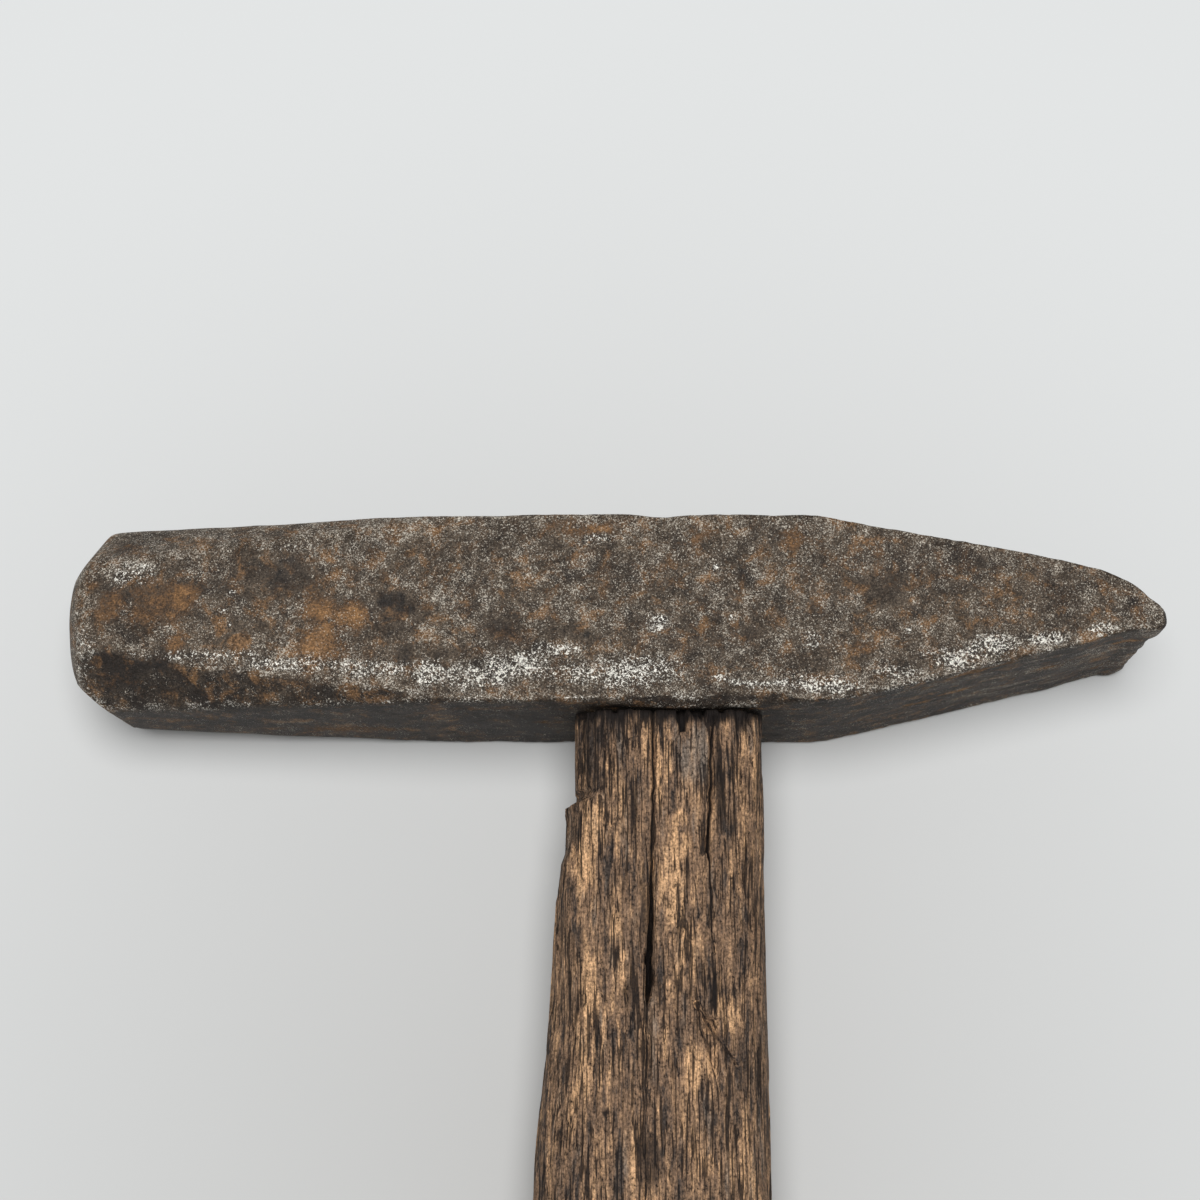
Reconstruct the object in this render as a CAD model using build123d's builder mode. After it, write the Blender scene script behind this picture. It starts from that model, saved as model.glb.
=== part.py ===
"""Small cross-peen hammer with a hand-forged head, lying on one cheek as it does on a bench.

X runs along the head from the striking face (-X) to the peen (+X), the handle runs along -Y, and Z is up.
The origin is on the bench under the middle of the eye. All sizes are in millimetres.
"""

import math
import os

from build123d import *

# Head
head_thickness = 22.5  # from the cheek it lies on to the upper cheek
body_width = 22.2  # across the body at the eye, along the handle
face_width = 21.0  # across the poll beside the striking face
poll_length = 70.0  # from the eye's axis to the crown of the striking face
body_reach = 15.0  # from the eye's axis to where the poll starts to narrow
worn_radius = 0.8  # rounding of the long edges of both cheeks

# Peen
peen_length = 58.3  # from the eye's axis to where its two sides would meet, before the edge is worn round
crown_shoulder = 15.6  # from the eye's axis to where the peen starts, on the side away from the handle
handle_shoulder = 18.2  # the same on the handle side
crown_shoulder_radius = 26.0
handle_shoulder_radius = 22.0
crown_slope = 11.2  # degrees that the side away from the handle leans in before it curves over
beak_length = 14.0  # the part of that side that curves over to the edge
peen_drop = 2.4  # how far the edge lies from the head's axis, towards the handle
edge_radius = 1.3
edge_corner = 2.2  # rounding of both ends of the edge

# Striking face, and the flats that run back from it along the four corners
crown_radius = 40.0
crown_width = 12.0  # the middle of the face, inside its rounded border
border_length = 9.0  # how far back the rounded border reaches at an unworn corner
flat_leg = 6.6  # what a corner flat takes off each side at the face
flat_length = 50.0  # from the face to where a corner flat runs out

# Eye: an oblong hole, narrowest at its waist and flared to both mouths
eye_length = 18.4
eye_width = 10.8
eye_flare = 0.6  # on each side, from the waist to a mouth
waist_offset = 1.5  # from the head's axis, towards the handle
fit_gap = 0.08  # between the wood and the iron around it

# Handle
overall_length = 300.0  # from the side of the head away from the handle to the butt
shoulder_gap = 0.2  # between the handle's neck and the head
tenon_proud = 0.8  # what stands out of the eye
# The neck is larger than the eye's mouth by these shoulders
face_shoulder = 2.3
peen_shoulder = 1.0
cheek_shoulder = 3.0
# Each station along the handle: distance from the head, then what the section has more than the neck,
# towards the face, towards the peen and in thickness
handle_stations = [
    (0.0, 0.0, 0.0, 0.0),
    (14.0, 0.1, 0.0, 0.3),
    (36.0, 1.8, -0.1, 1.3),
    (56.0, 3.6, -0.1, 2.0),
    (95.0, 4.4, 0.9, 2.6),
    (150.0, 3.3, 2.0, 2.3),
    (200.0, 2.6, 2.9, 2.7),
    (236.0, 2.9, 3.9, 4.0),
]
section_step = 10.0  # the longest stretch between two sections
corner_share = 0.84  # how much of half the thickness the rounded sides of a section take
swell_width = 30.6
swell_length = 20.0  # full swell at the butt
butt_radius = 6.5

# Old damage to the handle
lost_layer = 1.3  # thickness of the layer broken from the neck on the face side
lost_length = 9.0  # how far from the head that layer is gone altogether
lost_step = 1.9  # length of the slanting end of the layer that is left
split_depth = 5.5  # from the top of the handle down
# Each split along the handle: distance from the head, place towards the peen, width of the gap
long_split = [(0.0, -2.0, 0.30), (14.0, -2.2, 0.22), (22.0, -2.4, 0.50), (30.0, -2.8, 0.75), (33.5, -3.0, 0.12)]
short_split = [(3.0, 4.5, 0.28), (12.0, 4.1, 0.45), (17.0, 4.0, 0.50), (25.0, 4.2, 0.10)]

# Wedges
wood_wedge_depth = 16.0
wood_wedge_top = 2.6
wood_wedge_toe = 0.9
iron_wedge_depth = 12.0
iron_wedge_width = 7.8
iron_wedge_top = 2.2
iron_wedge_toe = 0.7
iron_wedge_place = 4.6  # from the eye's middle, along the head

# Worked out from the sizes above
axis_height = head_thickness / 2
half_body = body_width / 2
half_face = face_width / 2
neck_start = half_body + shoulder_gap
handle_length = overall_length - half_body - neck_start
tenon_end = half_body + tenon_proud
clearance = 10.0  # how far a cutting shape runs past what it cuts
mouth_length = eye_length + 2 * eye_flare
mouth_width = eye_width + 2 * eye_flare
neck_to_face = mouth_length / 2 + face_shoulder
neck_to_peen = mouth_length / 2 + peen_shoulder
neck_thickness = mouth_width + 2 * cheek_shoulder
tenon_root = 1.0  # how far the tenon is carried into the neck to join it
run_out_reach = half_face + (half_body - half_face) * flat_length / (poll_length - body_reach)
split_floor = axis_height + neck_thickness / 2 - split_depth
iron_wedge_places = (-iron_wedge_place, iron_wedge_place)

os.makedirs("parts", exist_ok=True)


def eye_shape(low, high, gap):
    """The eye, less a gap all round, between two places along the handle's axis."""
    flare_rate = eye_flare / (half_body - waist_offset)
    waist = -waist_offset
    with BuildPart() as shape:
        for start, end in ((low, waist), (waist, high)):
            for y in (start, end):
                flare = abs(y - waist) * flare_rate
                with BuildSketch(Plane.XZ.offset(-y)):
                    with Locations((0, axis_height)):
                        SlotOverall(eye_length + 2 * (flare - gap), eye_width + 2 * (flare - gap))
            loft()
    return shape.part


def wedge_shape(plane, top, toe, depth, breadth, gap=0.0):
    """A wedge driven down from the tenon's end: the plane holds its taper, and breadth lies across the plane."""
    with BuildPart() as shape:
        with BuildSketch(plane):
            with BuildLine():
                Polyline(
                    (-top / 2 - gap, tenon_end),
                    (top / 2 + gap, tenon_end),
                    (toe / 2 + gap, tenon_end - depth - gap),
                    (-toe / 2 - gap, tenon_end - depth - gap),
                    close=True,
                )
            make_face()
        extrude(amount=breadth / 2 + gap, both=True)
    return shape.part


def wood_wedge_shape(gap=0.0):
    """The wooden wedge before its ends are fitted to the eye, or with a gap the kerf that holds it."""
    across_the_eye = Plane(origin=(0, 0, axis_height), x_dir=(0, 0, 1), z_dir=(-1, 0, 0))
    return wedge_shape(across_the_eye, wood_wedge_top, wood_wedge_toe, wood_wedge_depth, mouth_length + clearance, gap)


def iron_wedge_shape(place, gap=0.0):
    """One iron wedge, or with a gap the split that it opens."""
    along_the_eye = Plane.XY.move(Pos(place, 0, axis_height))
    return wedge_shape(along_the_eye, iron_wedge_top, iron_wedge_toe, iron_wedge_depth, iron_wedge_width, gap)


def split_shape(stations, floor):
    """The gap of a split that runs along the handle, open upwards from its floor."""
    one_side = [(place - width / 2, -neck_start - distance) for distance, place, width in stations]
    other_side = [(place + width / 2, -neck_start - distance) for distance, place, width in reversed(stations)]
    with BuildPart() as shape:
        with BuildSketch(Plane.XY.offset(floor)):
            with BuildLine():
                Polyline(*one_side, *other_side, close=True)
            make_face()
        extrude(amount=head_thickness)
    return shape.part


def steepness(stations, index, column):
    """How fast a size grows at a station, which is not at all at both ends and where the growth turns."""
    if index in (0, len(stations) - 1):
        return 0.0
    before, here, after = stations[index - 1], stations[index], stations[index + 1]
    rate_before = (here[column] - before[column]) / (here[0] - before[0])
    rate_after = (after[column] - here[column]) / (after[0] - here[0])
    if rate_before * rate_after <= 0:
        return 0.0
    return 2 * rate_before * rate_after / (rate_before + rate_after)


def on_curve(stations, distance, column):
    """A size at a distance from the head, on a smooth curve through the stations that never overshoots them."""
    index = max(i for i, station in enumerate(stations[:-1]) if station[0] <= distance)
    start, end = stations[index], stations[index + 1]
    span = end[0] - start[0]
    share = (distance - start[0]) / span
    eased = share**2 * (3 - 2 * share)
    leaving = steepness(stations, index, column) * (1 - share)
    arriving = steepness(stations, index + 1, column) * share
    return start[column] + (end[column] - start[column]) * eased + span * share * (1 - share) * (leaving - arriving)


def corner_flat(side, cheek):
    """The plane of the flat along one of the poll's corners, facing into the head."""
    cheek_height = axis_height + cheek * axis_height
    on_cheek = Vector(-poll_length, side * (half_face - flat_leg), cheek_height)
    on_side = Vector(-poll_length, side * half_face, cheek_height - cheek * flat_leg)
    run_out = Vector(flat_length - poll_length, side * run_out_reach, cheek_height)
    inwards = (on_side - on_cheek).cross(run_out - on_cheek) * (side * cheek)
    return Plane(origin=on_cheek, x_dir=on_side - on_cheek, z_dir=inwards)


# The striking face turned about the head's axis, with all of the head behind it
corner_reach = math.hypot(half_face, axis_height)
crown_depth = crown_radius - math.sqrt(crown_radius**2 - crown_width**2 / 4)
with BuildPart() as face_crown:
    with BuildSketch(Plane.XY.offset(axis_height)):
        with BuildLine():
            crown = RadiusArc((-poll_length, 0), (crown_depth - poll_length, crown_width / 2), crown_radius)
            border = TangentArc(crown @ 1, (border_length - poll_length, corner_reach), tangent=crown % 1)
            Polyline(
                border @ 1,
                (border_length - poll_length, corner_reach + clearance),
                (peen_length + clearance, corner_reach + clearance),
                (peen_length + clearance, 0),
                crown @ 0,
            )
        make_face()
    revolve(axis=Axis((0, 0, axis_height), (1, 0, 0)))

with BuildPart() as head:
    with BuildSketch() as outline:
        with BuildLine():
            crown_side = Polyline(
                (-poll_length, half_face),
                (-body_reach, half_body),
                (crown_shoulder, half_body),
            )
            lean = PolarLine(
                crown_side @ 1,
                length=peen_length - beak_length - crown_shoulder,
                angle=-crown_slope,
                length_mode=LengthMode.HORIZONTAL,
            )
            beak = TangentArc(lean @ 1, (peen_length, -peen_drop), tangent=lean % 1)
            Polyline(
                beak @ 1,
                (handle_shoulder, -half_body),
                (-body_reach, -half_body),
                (-poll_length, -half_face),
                crown_side @ 0,
            )
        make_face()
        fillet(outline.vertices().sort_by_distance((peen_length, -peen_drop))[0], radius=edge_radius)
        fillet(outline.vertices().sort_by_distance((crown_shoulder, half_body))[0], radius=crown_shoulder_radius)
        fillet(outline.vertices().sort_by_distance((handle_shoulder, -half_body))[0], radius=handle_shoulder_radius)
    extrude(amount=head_thickness)
    # Both cheeks are worn along all their edges, and so are both ends of the peen's edge
    fillet(head.faces().filter_by(Axis.Z).edges(), radius=worn_radius)
    edge_x = head.part.bounding_box().max.X
    with BuildSketch(Plane.XZ) as side_view:
        with BuildLine():
            Polyline(
                (-poll_length - clearance, 0),
                (edge_x, 0),
                (edge_x, head_thickness),
                (-poll_length - clearance, head_thickness),
                close=True,
            )
        make_face()
        fillet(side_view.vertices().group_by(Axis.X)[-1], radius=edge_corner)
    extrude(amount=body_width, both=True, mode=Mode.INTERSECT)
    add(face_crown.part, mode=Mode.INTERSECT)
    for side in (-1, 1):
        for cheek in (-1, 1):
            split(bisect_by=corner_flat(side, cheek))
    add(eye_shape(-half_body - clearance, half_body + clearance, gap=0), mode=Mode.SUBTRACT)

# Handle, from its neck at the head to the rounded butt, with the tenon that fills the eye
swell_start = handle_length - swell_length
swell_growth = (
    swell_start,
    swell_width / 2 - neck_to_face,
    swell_width / 2 - neck_to_peen,
    head_thickness - neck_thickness,
)
handle_curve = [*handle_stations, swell_growth]
section_count = math.ceil(swell_start / section_step)
tenon = eye_shape(-neck_start - tenon_root, tenon_end, fit_gap)
with BuildPart() as handle:
    for index in range(section_count + 1):
        distance = swell_start * index / section_count
        to_face = neck_to_face + on_curve(handle_curve, distance, 1)
        to_peen = neck_to_peen + on_curve(handle_curve, distance, 2)
        thickness = neck_thickness + on_curve(handle_curve, distance, 3)
        with BuildSketch(Plane.XZ.offset(neck_start + distance)):
            with Locations(((to_peen - to_face) / 2, axis_height)):
                RectangleRounded(to_face + to_peen, thickness, corner_share * thickness / 2)
    loft(ruled=True)
    extrude(handle.faces().sort_by(Axis.Y)[0], amount=swell_length)
    fillet(handle.faces().sort_by(Axis.Y)[0].edges(), radius=butt_radius)
    add(tenon)
    # The layer that broke away beside the head, with its slanting end
    with BuildSketch() as lost:
        with BuildLine():
            Polyline(
                (-neck_to_face - clearance, -neck_start),
                (lost_layer - neck_to_face, -neck_start),
                (lost_layer - neck_to_face, -neck_start - lost_length),
                (-neck_to_face, -neck_start - lost_length - lost_step),
                (-neck_to_face - clearance, -neck_start - lost_length - lost_step),
                close=True,
            )
        make_face()
    extrude(amount=head_thickness, mode=Mode.SUBTRACT)
    for stations in (long_split, short_split):
        add(split_shape(stations, split_floor), mode=Mode.SUBTRACT)
    add(wood_wedge_shape(fit_gap), mode=Mode.SUBTRACT)
    for place in iron_wedge_places:
        add(iron_wedge_shape(place, fit_gap), mode=Mode.SUBTRACT)

# The wooden wedge fills the kerf from end to end of the eye, and the iron wedges are driven through it
with BuildPart() as wood_wedge:
    add(wood_wedge_shape())
    add(tenon, mode=Mode.INTERSECT)
    for place in iron_wedge_places:
        add(iron_wedge_shape(place, fit_gap), mode=Mode.SUBTRACT)

with BuildPart() as iron_wedge_face:
    add(iron_wedge_shape(iron_wedge_places[0]))

with BuildPart() as iron_wedge_peen:
    add(iron_wedge_shape(iron_wedge_places[1]))

pieces = {
    "head": head,
    "handle": handle,
    "wood_wedge": wood_wedge,
    "iron_wedge_face": iron_wedge_face,
    "iron_wedge_peen": iron_wedge_peen,
}
for name, piece in pieces.items():
    piece.part.label = name
    export_step(piece.part, f"parts/{name}.step")
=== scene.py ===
"""A small cross-peen hammer: a rusty hand-forged head, wedged on a weathered and split handle.

X runs along the head to the peen, -Y along the handle to the butt and Z up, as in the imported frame.
Places and sizes on the surfaces are in millimetres, and those of Blender's objects in metres.
"""

import itertools
import math

import bmesh
import bpy
import numpy as np
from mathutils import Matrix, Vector


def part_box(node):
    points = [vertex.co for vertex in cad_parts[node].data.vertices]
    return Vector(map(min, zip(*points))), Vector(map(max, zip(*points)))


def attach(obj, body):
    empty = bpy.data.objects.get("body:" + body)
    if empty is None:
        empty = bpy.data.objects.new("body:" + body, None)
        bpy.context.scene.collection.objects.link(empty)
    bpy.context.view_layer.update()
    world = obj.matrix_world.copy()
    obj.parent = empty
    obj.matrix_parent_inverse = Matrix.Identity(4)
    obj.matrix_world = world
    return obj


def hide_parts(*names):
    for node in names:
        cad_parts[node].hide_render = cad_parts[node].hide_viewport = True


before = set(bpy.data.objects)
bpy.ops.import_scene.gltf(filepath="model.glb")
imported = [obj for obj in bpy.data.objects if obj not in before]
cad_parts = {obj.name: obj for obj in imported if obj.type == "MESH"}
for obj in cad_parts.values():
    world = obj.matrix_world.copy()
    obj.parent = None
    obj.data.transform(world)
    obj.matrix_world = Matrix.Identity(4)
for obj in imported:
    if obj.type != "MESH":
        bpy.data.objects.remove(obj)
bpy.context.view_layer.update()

bl_info = {
    "name": "Cross-peen hammer",
    "version": (1, 0, 0),
    "blender": (4, 5, 0),
    "location": "3D View > Sidebar > Hammer",
    "description": "Builds an old forged hammer round its packed frame",
    "category": "Add Mesh",
}

MM = 0.001
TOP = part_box("head")[1].z / MM  # height of the upper cheek
AXIS = TOP / 2  # height of the head's and the handle's axis
HEAD_SIDE = -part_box("head")[0].y / MM  # from the axis to the head's side over the handle
FACE_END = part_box("head")[0].x / MM
PEEN_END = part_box("head")[1].x / MM
BUTT_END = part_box("handle")[0].y / MM
TENON_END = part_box("handle")[1].y / MM
NECK_START = HEAD_SIDE + 0.2  # where the handle's shoulder stands, under the head


# Settings that a user would change


def length(name, description, default):
    return bpy.props.FloatProperty(name=name, description=description, default=default, unit="LENGTH", precision=5)


def colour(name, description, default):
    return bpy.props.FloatVectorProperty(name=name, description=description, default=default, subtype="COLOR")


class HeadSettings(bpy.types.PropertyGroup):
    grain: length("Mesh grain", "Size of the facets of the head's surface", 0.37 * MM)
    hollows: length("Hollows", "Depth of the broad hammered hollows", 0.30 * MM)
    pits: length("Pits", "Depth of the rust pits", 0.20 * MM)
    scale: colour("Forge scale", "Dark skin left by the fire", (0.034, 0.028, 0.024))
    skin: colour("Worn skin", "Brown-grey of the handled surface", (0.150, 0.113, 0.080))
    pit: colour("Pits' dirt", "Dark brown dirt in the small pits", (0.016, 0.011, 0.008))
    blue: colour("Blue scale", "Thick blue-black scale", (0.017, 0.017, 0.018))
    # The flecks' and the bare iron's pale, near-white colours are partly painted glints: light caught by tiny facets
    # and worn edges, painted as colour
    fleck_and_glint: colour("Flecks", "Pale flecks of thinly rubbed iron", (0.70, 0.64, 0.54))
    bare_and_glint: colour("Bare iron", "Iron rubbed bright along the edges", (1.0, 0.97, 0.88))
    rust: colour("Rust", "Orange of the fresh rust", (0.38, 0.205, 0.088))
    old_rust: colour("Old rust", "Red-brown of the old rust", (0.128, 0.074, 0.041))


class HandleSettings(bpy.types.PropertyGroup):
    wedge_grain: length("Wedge grain", "Size of the facets of the wooden wedge", 0.15 * MM)
    dark: colour("Dark wood", "Wood darkened by dirt and age", (0.046, 0.035, 0.029))
    brown: colour("Brown wood", "Middle tone of the old wood", (0.180, 0.111, 0.068))
    tan: colour("Tan wood", "Fibres rubbed clean", (0.50, 0.300, 0.160))
    grey: colour("Grey wood", "Bleached and dirty fibres", (0.140, 0.123, 0.106))
    pore: colour("Pores", "Inside of pores and splits", (0.010, 0.007, 0.006))
    end_grain: colour("End grain", "Wood cut across", (0.13, 0.080, 0.045))


class StageSettings(bpy.types.PropertyGroup):
    floor: colour("Floor", "Pale plain floor", (0.78, 0.795, 0.795))
    # Painted shade: the floor's colour darkens round the handle
    painted_shade_floor: colour("Near floor", "The floor under the handle, a little darker", (0.55, 0.55, 0.54))
    camera_place: bpy.props.FloatVectorProperty(
        name="Camera place",
        description="Where the camera stands",
        default=(-8.13 * MM, -69.33 * MM, 264.17 * MM),
        subtype="TRANSLATION",
        unit="LENGTH",
        precision=5,
    )
    camera_tilt: bpy.props.FloatProperty(
        name="Camera tilt",
        description="From straight down towards the far side",
        default=math.radians(16.15),
        unit="ROTATION",
    )
    lens: bpy.props.FloatProperty(name="Lens", description="Focal length in millimetres", default=66.0, min=1.0)
    lamp: bpy.props.FloatProperty(name="Lamp", description="Power of the large soft lamp", default=16.0, unit="POWER")
    lamp_size: length("Lamp size", "Diameter of the large soft lamp", 0.8)
    lamp_place: bpy.props.FloatVectorProperty(
        name="Lamp place",
        description="Where the large soft lamp hangs",
        default=(-0.02, -0.04, 1.3),
        subtype="TRANSLATION",
        unit="LENGTH",
    )
    sky: bpy.props.FloatProperty(name="Sky", description="Strength of the light from all round", default=0.13)


# Mesh tools


def object_mode():
    """Leaves edit mode, with nothing selected."""
    if bpy.context.object is not None and bpy.context.object.mode != "OBJECT":
        bpy.ops.object.mode_set(mode="OBJECT")
    bpy.ops.object.select_all(action="DESELECT")


def make_active(piece):
    object_mode()
    piece.select_set(True)
    bpy.context.view_layer.objects.active = piece


def apply_modifier(piece, kind, **settings):
    """Adds a modifier with its settings and applies it."""
    modifier = piece.modifiers.new(kind.lower(), kind)
    for name, value in settings.items():
        setattr(modifier, name, value)
    make_active(piece)
    bpy.ops.object.modifier_apply(modifier=modifier.name)


def cut(piece, cutter):
    """Takes the cutter's shape out of the piece and deletes the cutter."""
    apply_modifier(piece, "BOOLEAN", object=cutter, operation="DIFFERENCE", solver="MANIFOLD")
    bpy.data.objects.remove(cutter)


def merged_copy(node, name):
    """A closed mesh of the shape of a CAD node."""
    object_mode()
    piece = bpy.data.objects.new(name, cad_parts[node].data.copy())
    bpy.context.scene.collection.objects.link(piece)
    piece.data.materials.clear()
    make_active(piece)
    bpy.ops.object.mode_set(mode="EDIT")
    bpy.ops.mesh.select_all(action="SELECT")
    bpy.ops.mesh.remove_doubles(threshold=0.001 * MM)
    object_mode()
    return piece


def points_of(mesh):
    """Places of a mesh's vertices in millimetres."""
    flat = np.empty(len(mesh.vertices) * 3, np.float32)
    mesh.vertices.foreach_get("co", flat)
    return flat.reshape(-1, 3).astype(float) / MM


def normals_of(mesh):
    flat = np.empty(len(mesh.vertices) * 3, np.float32)
    mesh.vertices.foreach_get("normal", flat)
    return flat.reshape(-1, 3).astype(float)


def move_points(mesh, points):
    mesh.vertices.foreach_set("co", (points * MM).astype(np.float32).ravel())
    mesh.update()


def paint(mesh, name, *channels):
    """Stores up to four values from 0 to 1 for each vertex, for the material to read."""
    stored = np.ones((len(mesh.vertices), 4), np.float32)
    for index, channel in enumerate(channels):
        stored[:, index] = np.clip(channel, 0, 1)
    layer = mesh.attributes.new(name, "FLOAT_COLOR", "POINT")
    layer.data.foreach_set("color", stored.ravel())


def finish_piece(piece, material, slot, *nodes):
    """Gives a piece its material, its body and the CAD nodes that it stands for. The slot is not used."""
    piece.data.materials.clear()
    piece.data.materials.append(material)
    for polygon in piece.data.polygons:
        polygon.use_smooth = True
    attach(piece, "root")
    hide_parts(*nodes)


# Patterns worked out on points


def hashed(cells):
    """An even spread of values from 0 to 1, one for each whole-numbered cell."""
    mixed = (cells * np.array([73856093, 19349663, 83492791][: cells.shape[1]])).sum(axis=1)
    mixed = (mixed ^ (mixed >> 13)) * 1274126177
    return ((mixed ^ (mixed >> 16)) & 0xFFFF) / 0xFFFF


def lumps(points, size, seed=0):
    """Smooth noise from 0 to 1, with lumps about a size across. A size may differ along each axis."""
    scaled = points / np.asarray(size) + 0.37 + seed * 17.31
    cell = np.floor(scaled).astype(np.int64)
    share = scaled - cell
    share = share * share * (3 - 2 * share)
    total = np.zeros(len(points))
    for corner in itertools.product((0, 1), repeat=points.shape[1]):
        weight = np.prod(np.where(corner, share, 1 - share), axis=1)
        total += weight * hashed(cell + np.array(corner))
    return total


def rough(points, size, seed=0, layers=3):
    """Noise from 0 to 1 with finer and weaker layers on top of each other."""
    total = np.zeros(len(points))
    weight = 0.0
    for layer in range(layers):
        total += lumps(points, np.asarray(size) / 2**layer, seed + layer) / 2**layer
        weight += 1 / 2**layer
    return total / weight


def ramp(value, low, high):
    """0 below low and 1 above high, with a smooth way between. Low may be above high."""
    share = np.clip((value - low) / (high - low), 0, 1)
    return share * share * (3 - 2 * share)


def patches(points, spots, wobble=0.5):
    """How strongly each point lies in any of the spots: centre x and y, half sizes x and y, and strength."""
    shift = (rough(points, 2.6, seed=5, layers=4) - 0.5) * 4 * wobble
    total = np.zeros(len(points))
    for x, y, half_x, half_y, strength in spots:
        reach = np.hypot((points[:, 0] - x) / half_x, (points[:, 1] - y) / half_y) + shift
        total = np.maximum(total, strength * ramp(reach, 1.5, 0.4))
    return total


def smoothed(mesh, rounds):
    """Places of the vertices after some rounds in which each moves to the middle of its neighbours."""
    ends = np.empty(len(mesh.edges) * 2, np.int32)
    mesh.edges.foreach_get("vertices", ends)
    first, second = ends.reshape(-1, 2).T
    count = np.bincount(ends)
    smooth = points_of(mesh)
    for _ in range(rounds):
        total = [
            np.bincount(first, axis[second], len(count)) + np.bincount(second, axis[first], len(count))
            for axis in smooth.T
        ]
        smooth = np.stack(total, axis=1) / count[:, None]
    return smooth


def relief(mesh, rounds):
    """How far in millimetres each vertex stands out of the surface round it."""
    return ((points_of(mesh) - smoothed(mesh, rounds)) * normals_of(mesh)).sum(axis=1)


# Shader tools


class Signal:
    """An output of a node. Arithmetic on it adds Math nodes."""

    def __init__(self, shader, socket):
        self.shader = shader
        self.socket = socket

    def maths(self, operation, *values):
        return self.shader.node("Math", dict(enumerate(values)), operation=operation)

    def __abs__(self):
        return self.maths("ABSOLUTE", self)

    def __add__(self, other):
        return self.maths("ADD", self, other)

    __radd__ = __add__

    def __mul__(self, other):
        return self.maths("MULTIPLY", self, other)

    __rmul__ = __mul__

    def __sub__(self, other):
        return self.maths("SUBTRACT", self, other)

    def __rsub__(self, other):
        return self.maths("SUBTRACT", other, self)

    def __truediv__(self, other):
        return self.maths("DIVIDE", self, other)

    def __pow__(self, other):
        return self.maths("POWER", self, other)


class Shader:
    """A material with a Principled surface, and the nodes that feed it."""

    def __init__(self, name):
        self.material = bpy.data.materials.new(name)
        self.material.use_nodes = True
        self.tree = self.material.node_tree
        self.surface = self.tree.nodes["Principled BSDF"]

    def node(self, kind, inputs=None, output=0, stops=None, **settings):
        """Adds a node: its settings first, then a value or a link for each of the inputs named."""
        node = self.tree.nodes.new("ShaderNode" + kind)
        for name, value in settings.items():
            setattr(node, name, value)
        if stops:
            while len(node.color_ramp.elements) < len(stops):
                node.color_ramp.elements.new(0.5)
            for element, (position, stop) in zip(node.color_ramp.elements, stops):
                element.position = position
                element.color = (*stop, 1.0)
        for place, value in (inputs or {}).items():
            self.feed(node.inputs[place], value)
        return Signal(self, node.outputs[output])

    def feed(self, socket, value):
        if isinstance(value, Signal):
            self.tree.links.new(value.socket, socket)
        elif socket.type == "RGBA":
            socket.default_value = (*value, 1.0)
        else:
            socket.default_value = value

    def place(self, stretch=(1.0, 1.0, 1.0)):
        """Object coordinates in millimetres, divided along each axis by a stretch."""
        shares = tuple(1 / (MM * part) for part in stretch)
        coordinates = self.node("TexCoord", output="Object")
        return self.node("VectorMath", {0: coordinates, 1: shares}, operation="MULTIPLY")

    def noise(self, place, size, detail=2.0, roughness=0.5, distortion=0.0):
        inputs = {
            "Vector": place,
            "Scale": 1 / size,
            "Detail": detail,
            "Roughness": roughness,
            "Distortion": distortion,
        }
        return self.node("TexNoise", inputs)

    def cell_values(self, place, size):
        """Three chance values from 0 to 1, each the same all over a small irregular cell."""
        colour = self.node("TexVoronoi", {"Vector": place, "Scale": 1 / size}, output="Color")
        return self.parts(colour)

    def parts(self, colour):
        """The three channels of a colour."""
        first = self.node("SeparateColor", {0: colour})
        return first, *(Signal(self, first.socket.node.outputs[index]) for index in (1, 2))

    def ramp(self, value, low, high):
        """0 at low and 1 at high, with a smooth way between."""
        inputs = {"Value": value, "From Min": low, "From Max": high}
        return self.node("MapRange", inputs, interpolation_type="SMOOTHSTEP")

    def shade(self, colour, strength):
        """A colour made lighter or darker."""
        return self.node("VectorMath", {0: colour, "Scale": strength}, operation="SCALE")

    def mix(self, share, first, second):
        """A colour between two."""
        return self.node("Mix", {0: share, 6: first, 7: second}, output=2, data_type="RGBA")

    def channels(self, name):
        """The four values painted on the mesh under a name."""
        colour = self.node("Attribute", output="Color", attribute_name=name)
        return *self.parts(colour), Signal(self, colour.socket.node.outputs["Alpha"])

    def pairs(self, name):
        """The values painted under a name, two by two."""
        first, second, third, fourth = self.channels(name)
        return (first, second), (third, fourth)

    def bump(self, height, normal=None):
        """A normal from a height in millimetres."""
        inputs = {"Height": height, "Distance": MM}
        if normal is not None:
            inputs["Normal"] = normal
        return self.node("Bump", inputs)

    def set(self, **inputs):
        """Feeds the surface's sockets, named with _ for a space."""
        for name, value in inputs.items():
            self.feed(self.surface.inputs[name.replace("_", " ")], value)


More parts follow.
